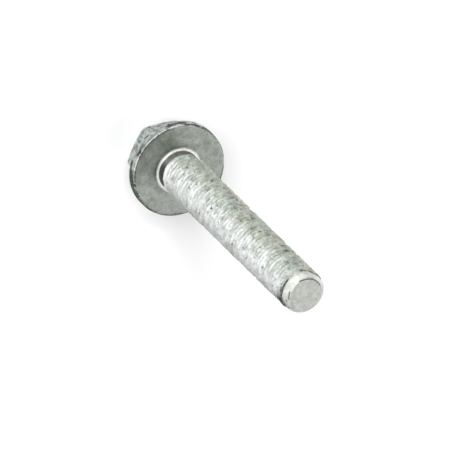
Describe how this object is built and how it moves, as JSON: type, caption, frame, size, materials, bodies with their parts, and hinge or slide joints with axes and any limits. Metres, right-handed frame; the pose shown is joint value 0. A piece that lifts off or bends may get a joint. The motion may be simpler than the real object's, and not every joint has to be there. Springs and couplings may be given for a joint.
{
  "type": "hex flange bolt",
  "caption": "Hexagon head bolt with an integral round flange and a shank threaded along its whole length, with a chamfered tip.",
  "frame": {"origin": "centre of the head's end face, which the bolt stands on", "axes": "+Z along the bolt's axis from the head to the tip; +X square to one of the hexagon's flats"},
  "size_m": [0.0258, 0.0258, 0.092],
  "materials": {
    "zinc_flake_steel": "satin silver-grey zinc flake coating over steel, slightly mottled, with small pits"
  },
  "bodies": {
    "root": {"bolt": "zinc_flake_steel"}
  },
  "joints": []
}
